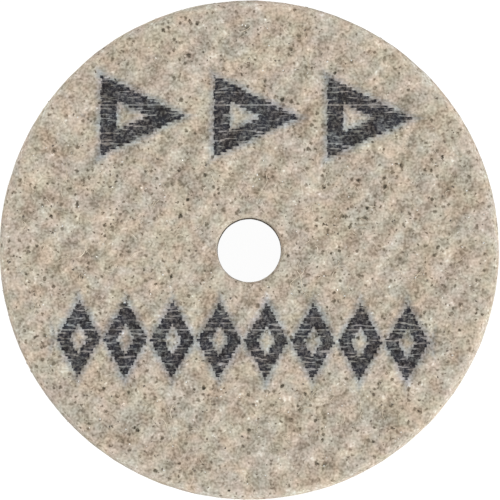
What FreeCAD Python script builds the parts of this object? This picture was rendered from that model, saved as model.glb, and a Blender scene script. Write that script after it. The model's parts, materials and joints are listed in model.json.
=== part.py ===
import FreeCAD, Part
import math
import os

from FreeCAD import Placement, Rotation, Vector

# A small bonded cotton fibre wheel, one piece: cotton, resin and abrasive grain pressed into a hard
# block, with its edges rounded. It lies on its back face.
# Millimetres, +Z along the arbor hole, origin at the hole's centre on the back face.

# Wheel
WHEEL_DIAMETER = 25.4
WHEEL_THICKNESS = 6.35
RIM_EDGE_RADIUS = 0.4

# Arbor hole, an easy fit on its mandrel
MANDREL_DIAMETER = 3.175
MANDREL_CLEARANCE = 0.05
ARBOR_EDGE_RADIUS = 0.15

# Rows of the cotton on both faces: raised rows with a shallow round hollow between each two of them.
# They end short of the rounded edges, where tumbling has worn them away.
ROW_PITCH = 1.304
ROW_DIRECTION_DEG = 56.5
HOLLOW_WIDTH = 0.8
HOLLOW_DEPTH = 0.05
WORN_MARGIN = 0.35


def turned_ring(inner_r, outer_r, thickness):
    """A square-edged ring on the floor: a rectangular section turned about Z."""
    section = Part.makePolygon([
        Vector(inner_r, 0, 0),
        Vector(outer_r, 0, 0),
        Vector(outer_r, 0, thickness),
        Vector(inner_r, 0, thickness),
        Vector(inner_r, 0, 0),
    ])
    return Part.Face(section).revolve(Vector(0, 0, 0), Vector(0, 0, 1), 360)


def round_rings(solid, ring_r, edge_r):
    """Rounds the circular edges that lie ring_r from the axis."""
    rings = []
    for edge in solid.Edges:
        if isinstance(edge.Curve, Part.Circle) and abs(edge.Curve.Radius - ring_r) < Part.Precision.confusion():
            rings.append(edge)
    return solid.makeFillet(edge_r, rings)


def hollow(offset, level, sunk, length):
    """A bar along Y with its flat side on a face at this level and its round side sunk into it."""
    start = Vector(offset - HOLLOW_WIDTH / 2, -length / 2, level)
    deepest = Vector(offset, -length / 2, level + sunk)
    end = Vector(offset + HOLLOW_WIDTH / 2, -length / 2, level)
    section = Part.Wire([Part.Arc(start, deepest, end).toShape(), Part.makeLine(end, start)])
    return Part.Face(section).extrude(Vector(0, length, 0))


def rows_of_hollows(inner_r, outer_r):
    """The hollows of both faces, kept inside a ring between these radii."""
    last = math.floor(outer_r / ROW_PITCH)
    bars = []
    for row in range(-last, last + 1):
        bars.append(hollow(row * ROW_PITCH, 0, HOLLOW_DEPTH, 2 * outer_r))
        bars.append(hollow(row * ROW_PITCH, WHEEL_THICKNESS, -HOLLOW_DEPTH, 2 * outer_r))
    bars = Part.Compound(bars)
    bars.Placement = Placement(Vector(), Rotation(Vector(0, 0, 1), ROW_DIRECTION_DEG - 90))
    return bars.common(turned_ring(inner_r, outer_r, WHEEL_THICKNESS))


def buffing_wheel():
    arbor_r = (MANDREL_DIAMETER + MANDREL_CLEARANCE) / 2
    rim_r = WHEEL_DIAMETER / 2
    wheel = turned_ring(arbor_r, rim_r, WHEEL_THICKNESS)
    wheel = round_rings(wheel, rim_r, RIM_EDGE_RADIUS)
    wheel = round_rings(wheel, arbor_r, ARBOR_EDGE_RADIUS)
    rows_inner_r = arbor_r + ARBOR_EDGE_RADIUS + WORN_MARGIN
    rows_outer_r = rim_r - RIM_EDGE_RADIUS - WORN_MARGIN
    return wheel.cut(rows_of_hollows(rows_inner_r, rows_outer_r))


os.makedirs("parts", exist_ok=True)
buffing_wheel().exportStep("parts/buffing_wheel.step")
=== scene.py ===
import json
import math
import random

import bpy
import numpy as np
from mathutils import Matrix, Quaternion, Vector, noise
from mathutils.bvhtree import BVHTree


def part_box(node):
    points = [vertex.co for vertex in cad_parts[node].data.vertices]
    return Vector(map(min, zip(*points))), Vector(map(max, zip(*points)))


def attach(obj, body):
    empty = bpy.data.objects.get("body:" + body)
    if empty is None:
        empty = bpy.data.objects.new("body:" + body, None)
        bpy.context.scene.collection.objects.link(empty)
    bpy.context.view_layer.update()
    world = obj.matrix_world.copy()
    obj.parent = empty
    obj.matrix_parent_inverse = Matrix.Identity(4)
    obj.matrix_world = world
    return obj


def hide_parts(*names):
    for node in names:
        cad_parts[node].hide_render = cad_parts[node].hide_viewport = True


# A small bonded cotton fibre wheel lying on its back face. Metres, +Z along the mandrel hole,
# origin at the hole's centre on the back face. The photograph's right is +X and its top is +Y.
# Lengths are in metres, but in millimetres where a name ends in _MM or a comment says so.
MM = 0.001

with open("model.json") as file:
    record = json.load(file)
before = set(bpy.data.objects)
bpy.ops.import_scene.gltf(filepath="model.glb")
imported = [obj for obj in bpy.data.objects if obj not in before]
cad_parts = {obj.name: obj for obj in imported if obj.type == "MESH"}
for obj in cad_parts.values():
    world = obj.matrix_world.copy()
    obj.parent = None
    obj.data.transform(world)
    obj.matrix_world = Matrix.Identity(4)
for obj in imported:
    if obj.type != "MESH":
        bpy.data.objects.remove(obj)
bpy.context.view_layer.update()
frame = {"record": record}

# The wheel's size, from the frame
wheel_low, wheel_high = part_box("buffing_wheel")
WHEEL_RADIUS = (wheel_high.x - wheel_low.x) / 2
THICKNESS = wheel_high.z - wheel_low.z
HOLE_RADIUS = next(m for m in frame["record"]["mounts"] if m["kind"] == "bore")["dims"]["r_mm"] * MM
MIDWAY_RADIUS = (WHEEL_RADIUS + HOLE_RADIUS) / 2
RIM_ROUNDING = 0.4 * MM
HOLE_ROUNDING = 0.15 * MM

# Rows of the pressed cotton: the strong ones run up to the right, the faint ones cross them.
# They fade out before the rounded edges, where tumbling has worn them away.
ROW_PITCH = 1.304 * MM
ROW_ACROSS_DEG = 146.5
ROW_SHIFT_DEG = -178
ROW_DEPTH = 0.05 * MM
CROSS_PITCH = 1.386 * MM
CROSS_ACROSS_DEG = 56.5
CROSS_SHIFT_DEG = -32
CROSS_DEPTH = 0.02 * MM
ROW_END = 0.35 * MM
ROW_FADE = 0.7 * MM

# The wheel's mesh, and the soft lumps and pits of its surface
SPIN_STEPS = 360
CORNER_STEPS = 5
CORNER_ROOM = HOLE_ROUNDING / 10
MERGE_DISTANCE = HOLE_ROUNDING / 100
MESH_SPACING = 0.135 * MM
LUMP_SIZE = 0.9 * MM
LUMP_HEIGHT = 0.035 * MM
PIT_SIZE = 0.33 * MM
PIT_HEIGHT = 0.018 * MM
PIT_PLACE = Vector((31, 17, 5))

# The wheel laid out flat, in shares of the map's side: the front face large, the back face and the
# hole's wall beside it, and the rim's wall below in two strips
FLAT_GAP = 0.008
FLAT_FRONT_SIDE = 0.65
FLAT_BACK_SIDE = 0.324
FLAT_STRIP_LENGTH = 0.977

# Loose cotton fibres, half sunk in the surface: thin tubes along curves, each given by its length and
# by how far its two ends bend off, in shares of that. Real ones are half as thick, too thin to show.
FIBRE_RADIUS = 0.015 * MM
FIBRE_STEPS = 6
FIBRE_CURVES = ((0.9 * MM, 0.3, 0.3), (0.7 * MM, 0.45, -0.35), (1.3 * MM, 0.2, -0.3), (0.5 * MM, 0.7, 0.6))
FIBRE_SINK = 0.006 * MM
FIBRE_ROOM = 0.7 * MM
FIBRE_SIZES = (0.6, 1.1)
FIBRES = {"front": 160, "back": 160, "rim": 220}

# Abrasive grains that stand out of the cotton: angular crumbs, partly sunk
CRUMB_SHAPES = 4
CRUMB_RADIUS = 0.06 * MM
CRUMB_JAG = 0.026 * MM
CRUMB_SINK = 0.022 * MM
CRUMB_ROOM = 0.05 * MM
DARK_CRUMB_SIZES = (0.6, 1.3)
PALE_CRUMB_SIZES = (0.5, 0.9)
DARK_CRUMBS = {"front": 380, "back": 320, "rim": 260}
PALE_CRUMBS = {"front": 150, "back": 110, "rim": 100}

# Stamped marks, plain shapes in two level rows that drop a little to the right, in millimetres.
# half is half of a shape's width and height.
ARROW_ROW = {
    "centre": (0.36, 6.75), "turn_deg": -0.6, "pitch": 5.75, "count": 3,
    "half": (2.15, 2.05), "stroke": 0.82}
LOZENGE_ROW = {
    "centre": (-0.33, -4.6), "turn_deg": -0.8, "pitch": 2.38, "count": 8,
    "half": (1.12, 1.95), "stroke": 0.58}


def linear(hex_colour):
    """An sRGB hex colour as the linear RGBA that a socket takes."""
    channels = [int(hex_colour[i:i + 2], 16) / 255 for i in (0, 2, 4)]
    return [c / 12.92 if c <= 0.04045 else ((c + 0.055) / 1.055) ** 2.4 for c in channels] + [1.0]


def add(tree, kind, inputs=(), **settings):
    """Adds a node. inputs maps an input's name or number to its value, or to the node or socket that
    feeds it."""
    made = tree.nodes.new(kind)
    for name, value in settings.items():
        setattr(made, name, value)
    for name, value in dict(inputs).items():
        if isinstance(value, bpy.types.Node):
            value = next(socket for socket in value.outputs if socket.enabled)
        if isinstance(value, bpy.types.NodeSocket):
            tree.links.new(value, made.inputs[name])
        else:
            made.inputs[name].default_value = value
    return made


def start_piece():
    bpy.ops.object.select_all(action="DESELECT")


# The wheel's form


def select_corners(wheel, radius):
    """Selects the section's corners that lie at this distance from the axis."""
    bpy.ops.mesh.select_all(action="DESELECT")
    bpy.ops.object.mode_set(mode="OBJECT")
    for vertex in wheel.data.vertices:
        vertex.select = abs(vertex.co.x - radius) < CORNER_ROOM
    bpy.ops.object.mode_set(mode="EDIT")


def wheel_blank():
    """The wheel's section, upright in the XZ plane, with rounded corners, spun into a closed ring."""
    start_piece()
    middle = Vector((MIDWAY_RADIUS, 0, THICKNESS / 2))
    bpy.ops.mesh.primitive_plane_add(size=1, location=middle, rotation=(math.pi / 2, 0, 0))
    wheel = bpy.context.object
    wheel.name = "cotton_wheel"
    wheel.scale = (WHEEL_RADIUS - HOLE_RADIUS, THICKNESS, 1)
    bpy.ops.object.transform_apply(location=True, rotation=True, scale=True)
    bpy.ops.object.mode_set(mode="EDIT")
    bpy.ops.mesh.select_mode(type="VERT")
    for radius, rounding in ((WHEEL_RADIUS, RIM_ROUNDING), (HOLE_RADIUS, HOLE_ROUNDING)):
        select_corners(wheel, radius)
        bpy.ops.mesh.bevel(affect="VERTICES", offset=rounding, segments=CORNER_STEPS, profile=0.5)
    bpy.ops.mesh.select_all(action="SELECT")
    bpy.ops.mesh.delete(type="ONLY_FACE")
    bpy.ops.mesh.select_all(action="SELECT")
    bpy.ops.mesh.spin(steps=SPIN_STEPS, angle=2 * math.pi, center=(0, 0, 0), axis=(0, 0, 1))
    bpy.ops.mesh.select_all(action="SELECT")
    bpy.ops.mesh.remove_doubles(threshold=MERGE_DISTANCE)
    bpy.ops.mesh.normals_make_consistent(inside=False)
    bpy.ops.object.mode_set(mode="OBJECT")
    return wheel


def even_mesh(wheel):
    """Gives the wheel one even, fine mesh, so that its relief is as sharp on the faces as on the walls."""
    remesh = wheel.modifiers.new("even_mesh", "REMESH")
    remesh.mode = "VOXEL"
    remesh.voxel_size = MESH_SPACING
    remesh.use_smooth_shade = True
    bpy.ops.object.modifier_apply(modifier=remesh.name)


def row_valleys(points, across_deg, pitch, shift_deg):
    """How deep each point lies in rows of this pitch: 1 in a valley, 0 on the row beside it."""
    angle = math.radians(across_deg)
    distance = points[:, 0] * math.cos(angle) + points[:, 1] * math.sin(angle)
    return 0.5 - 0.5 * np.cos(2 * math.pi * distance / pitch + math.radians(shift_deg))


def press_relief(wheel):
    """Sinks the valleys between the rows, and soft lumps and pits all over, into the surface."""
    mesh = wheel.data
    points = np.empty(len(mesh.vertices) * 3)
    normals = np.empty(len(mesh.vertices) * 3)
    mesh.vertices.foreach_get("co", points)
    mesh.vertices.foreach_get("normal", normals)
    points = points.reshape(-1, 3)
    normals = normals.reshape(-1, 3)
    radii = np.hypot(points[:, 0], points[:, 1])
    rim_room = (WHEEL_RADIUS - RIM_ROUNDING - ROW_END - radii) / ROW_FADE
    hole_room = (radii - HOLE_RADIUS - HOLE_ROUNDING) / ROW_END
    on_faces = normals[:, 2] ** 2 * np.clip(rim_room, 0, 1) * np.clip(hole_room, 0, 1)
    sink = row_valleys(points, ROW_ACROSS_DEG, ROW_PITCH, ROW_SHIFT_DEG) * ROW_DEPTH
    sink += row_valleys(points, CROSS_ACROSS_DEG, CROSS_PITCH, CROSS_SHIFT_DEG) * CROSS_DEPTH
    sink *= on_faces
    lumps = np.array([noise.noise(Vector(point) / LUMP_SIZE) for point in points])
    pits = np.array([noise.noise(Vector(point) / PIT_SIZE + PIT_PLACE) for point in points])
    sink += (0.5 + 0.5 * lumps) * LUMP_HEIGHT + (0.5 + 0.5 * pits) * PIT_HEIGHT
    points -= normals * sink[:, None]
    mesh.vertices.foreach_set("co", points.ravel())
    mesh.update()


def lay_flat(wheel):
    """Gives the wheel a map on which every spot of its surface has a place of its own."""
    mesh = wheel.data
    corner_vertices = np.empty(len(mesh.loops), dtype=int)
    vertex_points = np.empty(len(mesh.vertices) * 3)
    corner_counts = np.empty(len(mesh.polygons), dtype=int)
    centres = np.empty(len(mesh.polygons) * 3)
    normals = np.empty(len(mesh.polygons) * 3)
    mesh.loops.foreach_get("vertex_index", corner_vertices)
    mesh.vertices.foreach_get("co", vertex_points)
    mesh.polygons.foreach_get("loop_total", corner_counts)
    mesh.polygons.foreach_get("center", centres)
    mesh.polygons.foreach_get("normal", normals)
    points = vertex_points.reshape(-1, 3)[corner_vertices]
    face = np.repeat(np.arange(len(corner_counts)), corner_counts)
    centre = centres.reshape(-1, 3)[face]
    upward = normals.reshape(-1, 3)[face, 2]

    # Each corner's angle round the axis, kept beside its face's where a face crosses the turn's end
    middle_angle = np.arctan2(centre[:, 1], centre[:, 0])
    off_middle = np.arctan2(points[:, 1], points[:, 0]) - middle_angle
    angle = middle_angle + (off_middle + math.pi) % (2 * math.pi) - math.pi

    # The rim's wall, half of it in each strip
    strip = FLAT_STRIP_LENGTH / (math.pi * WHEEL_RADIUS)
    strip_height = THICKNESS * strip
    second = middle_angle >= 0
    flat = np.empty((len(points), 2))
    flat[:, 0] = FLAT_GAP + (angle + math.pi * ~second) * WHEEL_RADIUS * strip
    flat[:, 1] = FLAT_GAP + points[:, 2] * strip + second * (strip_height + FLAT_GAP)

    # The hole's wall
    above_strips = 2 * strip_height + 3 * FLAT_GAP
    beside_front = FLAT_FRONT_SIDE + 2 * FLAT_GAP
    bore = np.hypot(centre[:, 0], centre[:, 1]) < MIDWAY_RADIUS
    flat[bore, 0] = beside_front + (angle[bore] + math.pi) * HOLE_RADIUS * strip
    flat[bore, 1] = above_strips + points[bore, 2] * strip

    # The faces, the back one seen from behind
    front, back = upward > 0.5, upward < -0.5
    top = above_strips + FLAT_FRONT_SIDE
    front_middle = np.array((FLAT_GAP + FLAT_FRONT_SIDE / 2, top - FLAT_FRONT_SIDE / 2))
    back_middle = np.array((beside_front + FLAT_BACK_SIDE / 2, top - FLAT_BACK_SIDE / 2))
    flat[front] = front_middle + points[front, :2] * FLAT_FRONT_SIDE / (2 * WHEEL_RADIUS)
    flat[back] = back_middle + points[back, :2] * (-1, 1) * FLAT_BACK_SIDE / (2 * WHEEL_RADIUS)
    mesh.uv_layers.new(name="OFBake").uv.foreach_set("vector", flat.ravel())


# Fibres and grains that stand out of the surface


def cotton_fibre(length, first_bend, last_bend):
    """A thin closed tube, curved in the XY plane. Its bends are shares of its length."""
    start_piece()
    bpy.ops.curve.primitive_bezier_curve_add()
    fibre = bpy.context.object
    fibre.data.resolution_u = FIBRE_STEPS
    fibre.data.bevel_depth = FIBRE_RADIUS
    fibre.data.bevel_resolution = 0
    fibre.data.use_fill_caps = True
    first, last = fibre.data.splines[0].bezier_points
    for point, side, bend in ((first, -1, first_bend), (last, 1, last_bend)):
        point.handle_left_type = point.handle_right_type = "FREE"
        point.co = (side * length / 2, 0, 0)
        point.handle_left = point.handle_right = (side * length / 6, bend * length, 0)
    bpy.ops.object.convert(target="MESH")
    bpy.ops.object.shade_smooth()
    return fibre


def crumb(seed):
    """An angular crumb: a small ball of 20 flat sides with its corners knocked about."""
    start_piece()
    bpy.ops.mesh.primitive_ico_sphere_add(subdivisions=1, radius=CRUMB_RADIUS)
    bpy.ops.object.mode_set(mode="EDIT")
    bpy.ops.mesh.select_all(action="SELECT")
    bpy.ops.transform.vertex_random(offset=CRUMB_JAG, uniform=1, normal=0, seed=seed)
    bpy.ops.object.mode_set(mode="OBJECT")
    return bpy.context.object


def on_a_mark(spot, room):
    """Whether a spot on the front face lies on a row of stamped marks, or nearer to it than this."""
    for row in (ARROW_ROW, LOZENGE_ROW):
        off_x = abs(spot.x - row["centre"][0] * MM)
        off_y = abs(spot.y - row["centre"][1] * MM)
        half_width = row["pitch"] * row["count"] / 2 * MM
        if off_x < half_width + room and off_y < row["half"][1] * MM + room:
            return True
    return False


def random_spot(surface, dice, side, room):
    """A random place on one side of the wheel, this far from its edges, and the way out from it."""
    angle = dice.uniform(0, 2 * math.pi)
    if side == "rim":
        outward = Vector((math.cos(angle), math.sin(angle), 0))
        start = outward * 2 * WHEEL_RADIUS
        start.z = dice.uniform(RIM_ROUNDING + room, THICKNESS - RIM_ROUNDING - room)
    else:
        inner, outer = HOLE_RADIUS + HOLE_ROUNDING + room, WHEEL_RADIUS - RIM_ROUNDING - room
        radius = math.sqrt(dice.uniform(inner ** 2, outer ** 2))
        outward = Vector((0, 0, 1 if side == "front" else -1))
        start = Vector((math.cos(angle) * radius, math.sin(angle) * radius, 0)) + outward * 2 * THICKNESS
    return surface.ray_cast(start, -outward)[0], outward


def press_on_floor(piece):
    """Presses what lies under the wheel flat on the floor."""
    points = np.empty(len(piece.data.vertices) * 3)
    piece.data.vertices.foreach_get("co", points)
    points[2::3] = np.maximum(points[2::3], 0)
    piece.data.vertices.foreach_set("co", points)
    piece.data.update()


def scatter(name, shapes, surface, counts, room, sink, sizes, seed):
    """Sets copies of the shapes on the surface, each turned and sized at random, as one piece.
    The marks were stamped on a brushed face, so nothing lies on them."""
    dice = random.Random(seed)
    start_piece()
    for side, count in counts.items():
        set_down = 0
        while set_down < count:
            spot, outward = random_spot(surface, dice, side, room)
            if side == "front" and on_a_mark(spot, room):
                continue
            turned = outward.to_track_quat("Z", "Y") @ Quaternion((0, 0, 1), dice.uniform(0, 2 * math.pi))
            copy = shapes[set_down % len(shapes)].copy()
            copy.data = copy.data.copy()
            bpy.context.collection.objects.link(copy)
            size = dice.uniform(*sizes)
            copy.matrix_world = Matrix.LocRotScale(spot - outward * sink * size, turned, (size,) * 3)
            copy.select_set(True)
            set_down += 1
    bpy.context.view_layer.objects.active = copy
    bpy.ops.object.join()
    bpy.ops.object.transform_apply(location=True, rotation=True, scale=True)
    for shape in shapes:
        bpy.data.objects.remove(shape)
    copy.name = name
    press_on_floor(copy)
    return copy


# A noise lies round its middle, and mostly stays between the other two
NOISE_MIDDLE = 0.5
NOISE_LOW, NOISE_HIGH = 0.35, 0.65

# Bonded cotton: cotton fibres pressed in resin with abrasive grain, and tumbled. To the eye it is quite
# matt and greyish tan, mottled from a few millimetres down to single fibres, with the grain showing
# through as dark specks. The ground goes from brown-grey shade through tan to cream: each stop is a
# colour and its brightness, and each mottle is a patch size in millimetres and its strength.
GROUND = (
    ("3f3a31", 58),
    ("867b6c", 124),
    ("a29687", 151),
    ("bbb0a1", 176),
    ("cdc1b2", 199),
    ("dacfc0", 218),
    ("f8f4ea", 255),
)
GROUND_BRIGHTNESS = 178.4
MOTTLE_MM = ((2.0, 32), (1.0, 31), (0.5, 34), (0.25, 66), (0.125, 86), (0.065, 8))
PLY_FLATNESS = 2.2
COTTON_ROUGHNESS = 0.92
COTTON_SPECULAR = 0.1
BUMP_STRENGTH = 0.5
BUMP_PER_BRIGHTNESS = 0.0002 * MM

# The rows as light and shade, wandering a little from straight
ROW_BRIGHTNESS = 11.1
CROSS_BRIGHTNESS = 3.9
WANDER_SIZE_MM = 1.1
WANDER_MM = 0.56

# Lines in the surface, pale fibres and painted shade in the dark gaps between fibres: how tightly they curl,
# how wide they are and how far apart their patches lie, in millimetres, and how far they differ from the
# ground
FIBRE_AND_GAP_LINES = ((0.75, 0.03, 0.6, 24), (0.5, 0.022, 0.45, -24), (0.32, 0.024, 0.25, -30))
LINES_BEGIN, LINES_FULL = 0.5, 0.6

# The cut edges are paler, partly from cut fibres that stand up and partly painted light on their rounded
# edges: at which radius, how far the paling reaches outwards from there (below zero, inwards), and how much
# it pales. The drilled hole has a second, whiter fringe, painted light on its rounded edge.
EDGE_FLUFF_AND_LIGHT = (
    (WHEEL_RADIUS, -0.54 * MM, 25),
    (HOLE_RADIUS, 0.24 * MM, 11),
    (HOLE_RADIUS, 0.06 * MM, 42),
)

# Painted shade on the hole's wall, which is darkest from this deep below the faces on
BORE_SHADE_DEPTH = 0.6 * MM
BORE_SHADE_BRIGHTNESS = -54

# Abrasive grain in the surface: spacing and greatest radius of the grains, in millimetres, and how far
# they differ from the ground. It is ragged, and thicker in some places than in others.
DARK_GRAINS = ((0.29, 0.14, -74), (0.43, 0.16, -87))
PALE_GRAINS = (0.45, 0.1, 52)
GRAIN_CORE = 0.45
GRAIN_FAINTEST = 0.4
GRAIN_RAGGED_SIZE_MM = 0.12
GRAIN_RAGGED_MM = 0.08
GRAIN_CROWD_MM = 1.0
GRAIN_SPARSE, GRAIN_THICK = 0.4, 1.3

# Dye and resin: each pair of tints drifts across the wheel over this many millimetres
TINTS = (("fff9f7", "f8fefc", 0.85), ("f9fbff", "fffcf6", 1.6))

# Marker ink, stamped wet on the cotton: near-black with a blue cast, darkest where it pooled along the
# strokes' edges, thin in places, soaked out into a pale halo. It was printed in level lines that slip
# to the side, so that slanting strokes are stepped, and it is dry in streaks and in a missed line.
INK, BLUER_INK = "120e14", "191a25"
INK_HUE_MM = 0.5
INK_THINNEST, INK_THICKEST = 0.64, 0.995
INK_GRAIN_MM = 0.15
INK_GRAIN_HARSHNESS = 0.7
INK_GRAIN_BEGIN, INK_GRAIN_FULL = 0.44, 0.66
INK_POOL_MM = 0.16
INK_MIDDLE = 0.955
INK_SOFT_EDGE_MM = 0.02
INK_RAGGED_SIZE_MM = 0.12
INK_RAGGED_MM = 0.05
INK_ROUGHNESS = 0.72
HALO = "deeafc"
HALO_REACH_MM = 0.42
PRINT_LINE_MM = 0.15
PRINT_SLIP_MM = 0.05
STREAK_LENGTH_MM = 0.85
STREAK_SPACING_MM = 0.13
STREAKS_BEGIN, STREAKS_FULL = 0.57, 0.63
MISSED_LINE_MM = 0.3
MISSED_BEGIN, MISSED_FULL = 0.71, 0.74
DRY_SHARE = 0.34


def drift(tree, place, size, detail, low=0.0, high=1.0, distortion=0.0):
    """Drifts between low and high, in patches of this size."""
    patches = add(tree, "ShaderNodeTexNoise", {
        "Vector": place, "Scale": 1 / size, "Detail": detail, "Distortion": distortion})
    spread = add(tree, "ShaderNodeMapRange", {
        "Value": patches.outputs["Fac"], "From Min": NOISE_LOW, "From Max": NOISE_HIGH,
        "To Min": low, "To Max": high})
    return spread.outputs["Result"]


def strayed(tree, place, size, reach, detail):
    """The place, moved up to this far along each axis, in patches of this size."""
    patches = add(tree, "ShaderNodeTexNoise", {"Vector": place, "Scale": 1 / size, "Detail": detail})
    off = add(tree, "ShaderNodeVectorMath", {
        0: patches.outputs["Color"], 1: (NOISE_MIDDLE,) * 3}, operation="SUBTRACT")
    return add(tree, "ShaderNodeVectorMath", {
        0: off, 1: (2 * reach,) * 3, 2: place}, operation="MULTIPLY_ADD")


def axis_distance(tree, place):
    """How far the place lies from the wheel's axis."""
    flat = add(tree, "ShaderNodeVectorMath", {0: place, 1: (1, 1, 0)}, operation="MULTIPLY")
    return add(tree, "ShaderNodeVectorMath", {0: flat}, operation="LENGTH").outputs["Value"]


def fibre_and_gap_lines(tree, place, size, width, patch_size):
    """1 on thin curling lines, which come and go, and 0 beside them."""
    course = add(tree, "ShaderNodeTexNoise", {"Vector": place, "Scale": 1 / size, "Detail": 0})
    off = add(tree, "ShaderNodeMath", {0: course.outputs["Fac"], 1: NOISE_MIDDLE}, operation="SUBTRACT")
    off = add(tree, "ShaderNodeMath", {0: off}, operation="ABSOLUTE")
    line = add(tree, "ShaderNodeMapRange", {"Value": off, "From Min": width / size, "From Max": 0})
    patches = add(tree, "ShaderNodeTexNoise", {"Vector": place, "Scale": 1 / patch_size, "Detail": 0})
    shown = add(tree, "ShaderNodeMapRange", {
        "Value": patches.outputs["Fac"], "From Min": LINES_BEGIN, "From Max": LINES_FULL})
    return add(tree, "ShaderNodeMath", {
        0: line.outputs["Result"], 1: shown.outputs["Result"]}, operation="MULTIPLY")


def cotton_rows(tree, place, tone):
    """Lights and shades the rows of the pressed cotton, up to where they are worn away."""
    wandering = strayed(tree, place, WANDER_SIZE_MM, WANDER_MM, detail=2)
    row_end = WHEEL_RADIUS - RIM_ROUNDING - ROW_END
    shown = add(tree, "ShaderNodeMapRange", {
        "Value": axis_distance(tree, place), "From Min": row_end / MM, "From Max": (row_end - ROW_FADE) / MM})
    for across_deg, pitch, shift_deg, strength in (
        (ROW_ACROSS_DEG, ROW_PITCH, ROW_SHIFT_DEG, ROW_BRIGHTNESS),
        (CROSS_ACROSS_DEG, CROSS_PITCH, CROSS_SHIFT_DEG, CROSS_BRIGHTNESS),
    ):
        angle = math.radians(across_deg)
        turns = 2 * math.pi / (pitch / MM)
        phase = add(tree, "ShaderNodeVectorMath", {
            0: wandering, 1: (math.cos(angle) * turns, math.sin(angle) * turns, 0)}, operation="DOT_PRODUCT")
        phase = add(tree, "ShaderNodeMath", {
            0: phase.outputs["Value"], 1: math.radians(shift_deg)}, operation="ADD")
        wave = add(tree, "ShaderNodeMath", {0: phase}, operation="COSINE")
        wave = add(tree, "ShaderNodeMath", {0: wave, 1: shown.outputs["Result"]}, operation="MULTIPLY")
        tone = add(tree, "ShaderNodeMath", {0: wave, 1: strength, 2: tone}, operation="MULTIPLY_ADD")
    return tone


def ground_tone(tree, place):
    """Brightness of the pressed cotton, from broad soft patches down to single fibres, with painted shade in
    the gaps between fibres, and its rows.
    """
    tone = GROUND_BRIGHTNESS - sum(strength for size, strength in MOTTLE_MM) / 2
    for size, strength in MOTTLE_MM:
        patches = add(tree, "ShaderNodeTexNoise", {"Vector": place, "Scale": 1 / size, "Detail": 0})
        tone = add(tree, "ShaderNodeMath", {
            0: patches.outputs["Fac"], 1: strength, 2: tone}, operation="MULTIPLY_ADD")
    # Pale fibres, and painted shade in the dark gaps between them
    for size, width, patch_size, strength in FIBRE_AND_GAP_LINES:
        line = fibre_and_gap_lines(tree, place, size, width, patch_size)
        tone = add(tree, "ShaderNodeMath", {0: line, 1: strength, 2: tone}, operation="MULTIPLY_ADD")
    return cotton_rows(tree, place, tone)


def fluffed_and_lit_edges(tree, place, tone):
    """Pales the ground towards the rim and the hole, where cut fibres stand up, and paints light on the
    rounded edges there.
    """
    radius = axis_distance(tree, place)
    for edge, reach, brightness in EDGE_FLUFF_AND_LIGHT:
        paling = add(tree, "ShaderNodeMapRange", {
            "Value": radius, "From Min": (edge + reach) / MM, "From Max": (edge + reach / 3) / MM,
            "To Max": brightness})
        tone = add(tree, "ShaderNodeMath", {0: tone, 1: paling.outputs["Result"]}, operation="ADD")
    return tone


def shaded_bore(tree, place, tone):
    """Paints shade on the hole's wall between its rounded edges, where little light reaches."""
    height = add(tree, "ShaderNodeSeparateXYZ", {"Vector": place}).outputs["Z"]
    middle = THICKNESS / 2
    off_middle = add(tree, "ShaderNodeMath", {0: height, 1: middle / MM * PLY_FLATNESS}, operation="SUBTRACT")
    off_middle = add(tree, "ShaderNodeMath", {0: off_middle}, operation="ABSOLUTE")
    deep = add(tree, "ShaderNodeMapRange", {
        "Value": off_middle, "From Min": (middle - HOLE_ROUNDING) / MM * PLY_FLATNESS,
        "From Max": (middle - BORE_SHADE_DEPTH) / MM * PLY_FLATNESS})
    bore = add(tree, "ShaderNodeMath", {
        0: axis_distance(tree, place), 1: MIDWAY_RADIUS / MM}, operation="LESS_THAN")
    painted_shade = add(tree, "ShaderNodeMath", {0: deep.outputs["Result"], 1: bore}, operation="MULTIPLY")
    return add(tree, "ShaderNodeMath", {0: painted_shade, 1: BORE_SHADE_BRIGHTNESS, 2: tone}, operation="MULTIPLY_ADD")


def grains(tree, place, spacing, radius):
    """1 inside each scattered grain and 0 between them. Every grain has its own size and depth."""
    cells = add(tree, "ShaderNodeTexVoronoi", {"Vector": place, "Scale": 1 / spacing})
    pick = add(tree, "ShaderNodeSeparateColor", {"Color": cells.outputs["Color"]})
    size = add(tree, "ShaderNodeMath", {0: pick.outputs["Red"], 1: radius / spacing}, operation="MULTIPLY")
    core = add(tree, "ShaderNodeMath", {0: size, 1: GRAIN_CORE}, operation="MULTIPLY")
    inside = add(tree, "ShaderNodeMapRange", {
        "Value": cells.outputs["Distance"], "From Min": size, "From Max": core},
        interpolation_type="SMOOTHSTEP")
    depth = add(tree, "ShaderNodeMapRange", {"Value": pick.outputs["Green"], "To Min": GRAIN_FAINTEST})
    return add(tree, "ShaderNodeMath", {
        0: inside.outputs["Result"], 1: depth.outputs["Result"]}, operation="MULTIPLY")


def grained(tree, place, tone):
    """Sets the ragged dark and pale grains into the ground, in crowds."""
    ragged = strayed(tree, place, GRAIN_RAGGED_SIZE_MM, GRAIN_RAGGED_MM, detail=1)
    crowd = drift(tree, place, GRAIN_CROWD_MM, detail=1, low=GRAIN_SPARSE, high=GRAIN_THICK)
    for spacing, radius, change in DARK_GRAINS + (PALE_GRAINS,):
        grain = grains(tree, ragged, spacing, radius)
        grain = add(tree, "ShaderNodeMath", {0: grain, 1: crowd}, operation="MULTIPLY")
        tone = add(tree, "ShaderNodeMath", {0: grain, 1: change, 2: tone}, operation="MULTIPLY_ADD")
    return tone


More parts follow.
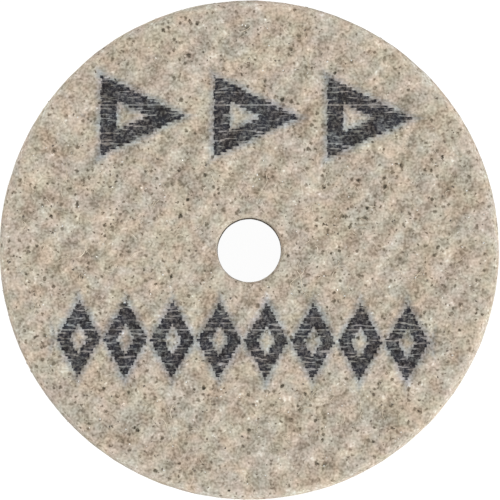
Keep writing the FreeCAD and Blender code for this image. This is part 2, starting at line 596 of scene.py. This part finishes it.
def ground_colour(tree, place, tone):
    """The ground's colour at this brightness, with its drifting tints."""
    height = add(tree, "ShaderNodeMath", {0: tone, 1: 1 / 255}, operation="MULTIPLY", use_clamp=True)
    ramp = add(tree, "ShaderNodeValToRGB", {"Fac": height})
    stops = ramp.color_ramp.elements
    for stop, (colour, brightness) in zip(stops, (GROUND[0], GROUND[-1])):
        stop.position, stop.color = brightness / 255, linear(colour)
    for colour, brightness in GROUND[1:-1]:
        stops.new(brightness / 255).color = linear(colour)
    colour = ramp.outputs["Color"]
    for number, (tint, other_tint, size) in enumerate(TINTS):
        share = drift(tree, place, size, detail=2, distortion=number)
        tinted = add(tree, "ShaderNodeMix", {
            0: share, 6: linear(tint), 7: linear(other_tint)}, data_type="RGBA")
        colour = add(tree, "ShaderNodeMix", {
            0: 1.0, 6: colour, 7: tinted.outputs[2]}, data_type="RGBA", blend_type="MULTIPLY").outputs[2]
    return colour


def print_lines(tree, place):
    """The place as the stamp prints it: in level lines, each slipped a little to one side."""
    axes = add(tree, "ShaderNodeSeparateXYZ", {"Vector": place})
    line = add(tree, "ShaderNodeMath", {0: axes.outputs["Y"], 1: PRINT_LINE_MM}, operation="SNAP")
    chance = add(tree, "ShaderNodeTexWhiteNoise", {"W": line}, noise_dimensions="1D")
    slip = add(tree, "ShaderNodeMath", {0: chance.outputs["Value"], 1: 0.5}, operation="SUBTRACT")
    x = add(tree, "ShaderNodeMath", {
        0: slip, 1: 2 * PRINT_SLIP_MM, 2: axes.outputs["X"]}, operation="MULTIPLY_ADD")
    y = add(tree, "ShaderNodeMath", {0: line, 1: PRINT_LINE_MM / 2}, operation="ADD")
    return add(tree, "ShaderNodeCombineXYZ", {"X": x, "Y": y})


def arrow_outline(tree, row, x, y):
    """Distance from an arrow's outline, a triangle that points along +X, below zero inside it.
    x and y are measured from its middle, y upwards and downwards alike."""
    half_x, half_y = row["half"]
    slant = math.hypot(half_y, 2 * half_x)
    run, rise = half_y / slant, 2 * half_x / slant
    side = add(tree, "ShaderNodeMath", {0: x, 1: run, 2: -half_x * run}, operation="MULTIPLY_ADD")
    side = add(tree, "ShaderNodeMath", {0: y, 1: rise, 2: side}, operation="MULTIPLY_ADD")
    back = add(tree, "ShaderNodeMath", {0: x, 1: -1, 2: -half_x}, operation="MULTIPLY_ADD")
    return add(tree, "ShaderNodeMath", {0: side, 1: back}, operation="MAXIMUM")


def lozenge_outline(tree, row, x, y):
    """Distance from an upright lozenge's outline, below zero inside it."""
    half_x, half_y = row["half"]
    slant = math.hypot(half_x, half_y)
    x = add(tree, "ShaderNodeMath", {0: x}, operation="ABSOLUTE")
    side = add(tree, "ShaderNodeMath", {
        0: x, 1: half_y / slant, 2: -half_x * half_y / slant}, operation="MULTIPLY_ADD")
    return add(tree, "ShaderNodeMath", {0: y, 1: half_x / slant, 2: side}, operation="MULTIPLY_ADD")


def row_distance(tree, place, row, outline):
    """Distance from the strokes of a row of marks, below zero inside them."""
    local = add(tree, "ShaderNodeMapping", {
        "Vector": place, "Location": (*row["centre"], 0),
        "Rotation": (0, 0, math.radians(row["turn_deg"]))}, vector_type="TEXTURE")
    axes = add(tree, "ShaderNodeSeparateXYZ", {"Vector": local})
    half_pitch = row["pitch"] / 2
    first_shift = half_pitch if row["count"] % 2 == 0 else 0
    moved = add(tree, "ShaderNodeMath", {0: axes.outputs["X"], 1: first_shift}, operation="ADD")
    x = add(tree, "ShaderNodeMath", {0: moved, 1: half_pitch, 2: -half_pitch}, operation="WRAP")
    y = add(tree, "ShaderNodeMath", {0: axes.outputs["Y"]}, operation="ABSOLUTE")
    half_stroke = row["stroke"] / 2
    middle = add(tree, "ShaderNodeMath", {0: outline(tree, row, x, y), 1: half_stroke}, operation="ADD")
    middle = add(tree, "ShaderNodeMath", {0: middle}, operation="ABSOLUTE")
    stroke = add(tree, "ShaderNodeMath", {0: middle, 1: half_stroke}, operation="SUBTRACT")
    beyond = add(tree, "ShaderNodeMath", {0: axes.outputs["X"]}, operation="ABSOLUTE")
    beyond = add(tree, "ShaderNodeMath", {0: beyond, 1: half_pitch * row["count"]}, operation="SUBTRACT")
    return add(tree, "ShaderNodeMath", {0: stroke, 1: beyond}, operation="MAXIMUM")


def dry_streaks(tree, place):
    """1 where the stamp was wet, and the dry share in its level streaks and missed lines."""
    stretched = add(tree, "ShaderNodeMapping", {
        "Vector": place, "Scale": (1 / STREAK_LENGTH_MM, 1 / STREAK_SPACING_MM, 0)})
    streaks = add(tree, "ShaderNodeTexNoise", {"Vector": stretched, "Scale": 1, "Detail": 2})
    dry = add(tree, "ShaderNodeMapRange", {
        "Value": streaks.outputs["Fac"], "From Min": STREAKS_BEGIN, "From Max": STREAKS_FULL,
        "To Min": 1, "To Max": DRY_SHARE})
    level = add(tree, "ShaderNodeMapping", {"Vector": place, "Scale": (0, 1 / MISSED_LINE_MM, 0)})
    lines = add(tree, "ShaderNodeTexNoise", {"Vector": level, "Scale": 1, "Detail": 0})
    missed = add(tree, "ShaderNodeMapRange", {
        "Value": lines.outputs["Fac"], "From Min": MISSED_BEGIN, "From Max": MISSED_FULL,
        "To Min": 1, "To Max": DRY_SHARE})
    return add(tree, "ShaderNodeMath", {
        0: dry.outputs["Result"], 1: missed.outputs["Result"]}, operation="MULTIPLY")


def ink_thickness(tree, place, distance):
    """How much of the cotton the ink covers: granular, and thickest along the strokes' edges."""
    grain = add(tree, "ShaderNodeTexNoise", {
        "Vector": place, "Scale": 1 / INK_GRAIN_MM, "Detail": 2, "Roughness": INK_GRAIN_HARSHNESS})
    grain = add(tree, "ShaderNodeMapRange", {
        "Value": grain.outputs["Fac"], "From Min": INK_GRAIN_BEGIN, "From Max": INK_GRAIN_FULL,
        "To Min": INK_THICKEST, "To Max": INK_THINNEST})
    pooled = add(tree, "ShaderNodeMapRange", {
        "Value": distance, "From Min": -INK_POOL_MM, "From Max": 0, "To Min": INK_MIDDLE, "To Max": 1})
    return add(tree, "ShaderNodeMath", {
        0: grain.outputs["Result"], 1: pooled.outputs["Result"]}, operation="MULTIPLY")


def stamped(tree, place, colour):
    """Lays the stamped marks on the front face: their halo, then the ink. Returns the colour, and how
    much ink there is."""
    printed = print_lines(tree, place)
    arrows = row_distance(tree, printed, ARROW_ROW, arrow_outline)
    lozenges = row_distance(tree, printed, LOZENGE_ROW, lozenge_outline)
    distance = add(tree, "ShaderNodeMath", {0: arrows, 1: lozenges}, operation="MINIMUM")
    ragged = add(tree, "ShaderNodeTexNoise", {"Vector": place, "Scale": 1 / INK_RAGGED_SIZE_MM, "Detail": 2})
    ragged = add(tree, "ShaderNodeMath", {0: ragged.outputs["Fac"], 1: NOISE_MIDDLE}, operation="SUBTRACT")
    distance = add(tree, "ShaderNodeMath", {
        0: ragged, 1: 2 * INK_RAGGED_MM, 2: distance}, operation="MULTIPLY_ADD")
    height = add(tree, "ShaderNodeSeparateXYZ", {"Vector": place}).outputs["Z"]
    face_level = (THICKNESS - RIM_ROUNDING) / MM * PLY_FLATNESS
    front = add(tree, "ShaderNodeMath", {0: height, 1: face_level}, operation="GREATER_THAN")

    halo = add(tree, "ShaderNodeMapRange", {
        "Value": distance, "From Min": HALO_REACH_MM, "From Max": 0}, interpolation_type="SMOOTHSTEP")
    halo = add(tree, "ShaderNodeMath", {0: halo.outputs["Result"], 1: front}, operation="MULTIPLY")
    haloed = add(tree, "ShaderNodeMix", {
        0: halo, 6: colour, 7: linear(HALO)}, data_type="RGBA", blend_type="MULTIPLY").outputs[2]

    dye = add(tree, "ShaderNodeMix", {
        0: drift(tree, place, INK_HUE_MM, detail=1), 6: linear(INK), 7: linear(BLUER_INK)},
        data_type="RGBA")
    thickness = ink_thickness(tree, place, distance)
    soaked = add(tree, "ShaderNodeMix", {0: thickness, 6: haloed, 7: dye.outputs[2]}, data_type="RGBA")

    ink = add(tree, "ShaderNodeMapRange", {
        "Value": distance, "From Min": INK_SOFT_EDGE_MM, "From Max": -INK_SOFT_EDGE_MM})
    ink = add(tree, "ShaderNodeMath", {0: ink.outputs["Result"], 1: front}, operation="MULTIPLY")
    ink = add(tree, "ShaderNodeMath", {0: ink, 1: dry_streaks(tree, place)}, operation="MULTIPLY")
    marked = add(tree, "ShaderNodeMix", {0: ink, 6: haloed, 7: soaked.outputs[2]}, data_type="RGBA")
    return marked.outputs[2], ink


def new_material(name):
    material = bpy.data.materials.new(name)
    material.use_nodes = True
    material.node_tree.nodes.clear()
    return material, material.node_tree


def bonded_cotton():
    """The wheel's material. Its plies lie flat, so its pattern is flatter than it is wide on the walls."""
    material, tree = new_material("bonded_cotton")
    spot = add(tree, "ShaderNodeTexCoord").outputs["Object"]
    place = add(tree, "ShaderNodeVectorMath", {
        0: spot, 1: (1 / MM, 1 / MM, PLY_FLATNESS / MM)}, operation="MULTIPLY")
    tone = fluffed_and_lit_edges(tree, place, ground_tone(tree, place))
    tone = grained(tree, place, shaded_bore(tree, place, tone))
    colour, ink = stamped(tree, place, ground_colour(tree, place, tone))
    roughness = add(tree, "ShaderNodeMapRange", {
        "Value": ink, "To Min": COTTON_ROUGHNESS, "To Max": INK_ROUGHNESS})
    bump = add(tree, "ShaderNodeBump", {
        "Height": tone, "Strength": BUMP_STRENGTH, "Distance": BUMP_PER_BRIGHTNESS})
    shader = add(tree, "ShaderNodeBsdfPrincipled", {
        "Base Color": colour, "Normal": bump, "Roughness": roughness.outputs["Result"],
        "Specular IOR Level": COTTON_SPECULAR})
    add(tree, "ShaderNodeOutputMaterial", {"Surface": shader})
    return material


def fleck_material(name, hue, other_hue, patch_size, roughness, sheen=0.0):
    """For fibres and grains: drifts between two colours over this size, so that no two match."""
    material, tree = new_material(name)
    spot = add(tree, "ShaderNodeTexCoord").outputs["Object"]
    colour = add(tree, "ShaderNodeMix", {
        0: drift(tree, spot, patch_size, detail=1), 6: linear(hue), 7: linear(other_hue)},
        data_type="RGBA")
    shader = add(tree, "ShaderNodeBsdfPrincipled", {
        "Base Color": colour.outputs[2], "Roughness": roughness, "Sheen Weight": sheen})
    add(tree, "ShaderNodeOutputMaterial", {"Surface": shader})
    return material


# Floor, light and camera
FLOOR_SIZE = 0.6
FLOOR_WHITE = 0.8
FLOOR_GLOW = 0.96
FLOOR_SHADOWED_SHARE = 0.2
SKY_LIGHT = 0.51

# Each lamp's name, place, size and power in watts
LAMPS = (
    ("key", Vector((0.32, -0.2, 0.26)), 0.18, 1.4),
    ("fill", Vector((-0.16, 0.10, 0.2)), 0.12, 0.22),
)

# The camera: its lens and sensor in millimetres, and how far it stands to the right and to the top for
# each metre up
CAMERA_LENS = 400
CAMERA_SENSOR = 36
CAMERA_NEAR, CAMERA_FAR = 0.01, 10
CAMERA_LEAN = (0.001, -0.0085)

# The photograph in pixels: its side, the wheel's full width, and where the wheel's centre lies in it
PHOTO_SIDE_PX = 500
PHOTO_WHEEL_WIDTH_PX = 501.1
PHOTO_CENTRE_PX = (249.17, 249.9)


def seen_directly(tree):
    """1 for what the camera sees, straight or in a reflection, and 0 for what only lights the wheel."""
    path = add(tree, "ShaderNodeLightPath")
    seen = add(tree, "ShaderNodeMath", {
        0: path.outputs["Is Camera Ray"], 1: path.outputs["Is Glossy Ray"]}, operation="MAXIMUM")
    return add(tree, "ShaderNodeMath", {0: seen, 1: path.outputs["Is Transmission Ray"]}, operation="MAXIMUM")


def white_floor():
    """White paper: it shows as plain white with a faint shadow, and throws its own light on the wheel."""
    start_piece()
    bpy.ops.mesh.primitive_plane_add(size=FLOOR_SIZE)
    floor = bpy.context.object
    floor.name = "floor"
    material, tree = new_material("white_paper")
    lit = add(tree, "ShaderNodeBsdfDiffuse", {"Color": (*(FLOOR_WHITE,) * 3, 1)})
    shadowed = add(tree, "ShaderNodeBsdfDiffuse", {"Color": (*(FLOOR_SHADOWED_SHARE,) * 3, 1)})
    glow = add(tree, "ShaderNodeEmission", {"Color": (1, 1, 1, 1), "Strength": FLOOR_GLOW})
    shown = add(tree, "ShaderNodeAddShader", {0: shadowed, 1: glow})
    paper = add(tree, "ShaderNodeMixShader", {0: seen_directly(tree), 1: lit, 2: shown})
    add(tree, "ShaderNodeOutputMaterial", {"Surface": paper})
    floor.data.materials.append(material)


def studio_light():
    """An even pale room that looks white, with a lamp at the lower right and one at the upper left."""
    world = bpy.data.worlds.new("studio")
    bpy.context.scene.world = world
    world.use_nodes = True
    tree = world.node_tree
    tree.nodes.clear()
    strength = add(tree, "ShaderNodeMix", {
        "Factor": seen_directly(tree), "A": SKY_LIGHT, "B": 1.0}, data_type="FLOAT")
    light = add(tree, "ShaderNodeBackground", {"Color": (1, 1, 1, 1), "Strength": strength})
    add(tree, "ShaderNodeOutputWorld", {"Surface": light})
    for name, place, size, power in LAMPS:
        lamp = bpy.data.lights.new(name, "AREA")
        lamp.size = size
        lamp.energy = power
        made = bpy.data.objects.new(name, lamp)
        bpy.context.collection.objects.link(made)
        made.location = place
        made.rotation_euler = (Vector((0, 0, THICKNESS)) - place).to_track_quat("-Z", "Y").to_euler()


def photo_camera():
    """A long lens straight above the front face, leaning just enough to see the hole's upper wall."""
    data = bpy.data.cameras.new("photo_camera")
    camera = bpy.data.objects.new("photo_camera", data)
    bpy.context.collection.objects.link(camera)
    data.lens = CAMERA_LENS
    data.sensor_width = CAMERA_SENSOR
    data.clip_start = CAMERA_NEAR
    data.clip_end = CAMERA_FAR
    view_width = 2 * WHEEL_RADIUS * PHOTO_SIDE_PX / PHOTO_WHEEL_WIDTH_PX
    distance = view_width * CAMERA_LENS / CAMERA_SENSOR
    target = Vector((0, 0, THICKNESS))
    back = Vector((*CAMERA_LEAN, 1)).normalized()
    camera.location = target + back * distance
    right = Vector((0, 1, 0)).cross(back).normalized()
    camera.rotation_euler = Matrix((right, back.cross(right), back)).transposed().to_euler()
    half = PHOTO_SIDE_PX / 2
    data.shift_x = (half - PHOTO_CENTRE_PX[0]) / PHOTO_SIDE_PX
    data.shift_y = (PHOTO_CENTRE_PX[1] - half) / PHOTO_SIDE_PX
    bpy.context.scene.camera = camera


wheel = wheel_blank()
even_mesh(wheel)
press_relief(wheel)
lay_flat(wheel)
wheel.data.materials.append(bonded_cotton())
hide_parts("buffing_wheel")

surface = BVHTree.FromObject(wheel, bpy.context.evaluated_depsgraph_get())

# Raw cotton: cream, soft, with a faint sheen along the fibre
curves = [cotton_fibre(*curve) for curve in FIBRE_CURVES]
fibres = scatter("loose_fibres", curves, surface, FIBRES, FIBRE_ROOM, FIBRE_SINK, FIBRE_SIZES, seed=1)
fibres.data.materials.append(fleck_material(
    "raw_cotton", "efe4cf", "c9b9a0", patch_size=1.0 * MM, roughness=0.8, sheen=0.3))

# Brown fused alumina, crushed: dark, with a glint on its broken sides
crumbs = [crumb(seed) for seed in range(CRUMB_SHAPES)]
dark = scatter(
    "dark_grains", crumbs, surface, DARK_CRUMBS, CRUMB_ROOM, CRUMB_SINK, DARK_CRUMB_SIZES, seed=2)
dark.data.materials.append(fleck_material(
    "brown_fused_alumina", "544b42", "7a6a58", patch_size=0.4 * MM, roughness=0.5))

# White fused alumina, crushed: bright specks that catch the light
crumbs = [crumb(seed) for seed in range(CRUMB_SHAPES)]
pale = scatter(
    "pale_grains", crumbs, surface, PALE_CRUMBS, CRUMB_ROOM, CRUMB_SINK, PALE_CRUMB_SIZES, seed=3)
pale.data.materials.append(fleck_material(
    "white_fused_alumina", "f6f2ea", "dfe2e0", patch_size=0.4 * MM, roughness=0.3))

for piece in (wheel, fibres, dark, pale):
    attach(piece, "root")

white_floor()
studio_light()
photo_camera()
bpy.context.scene.view_settings.view_transform = "Standard"
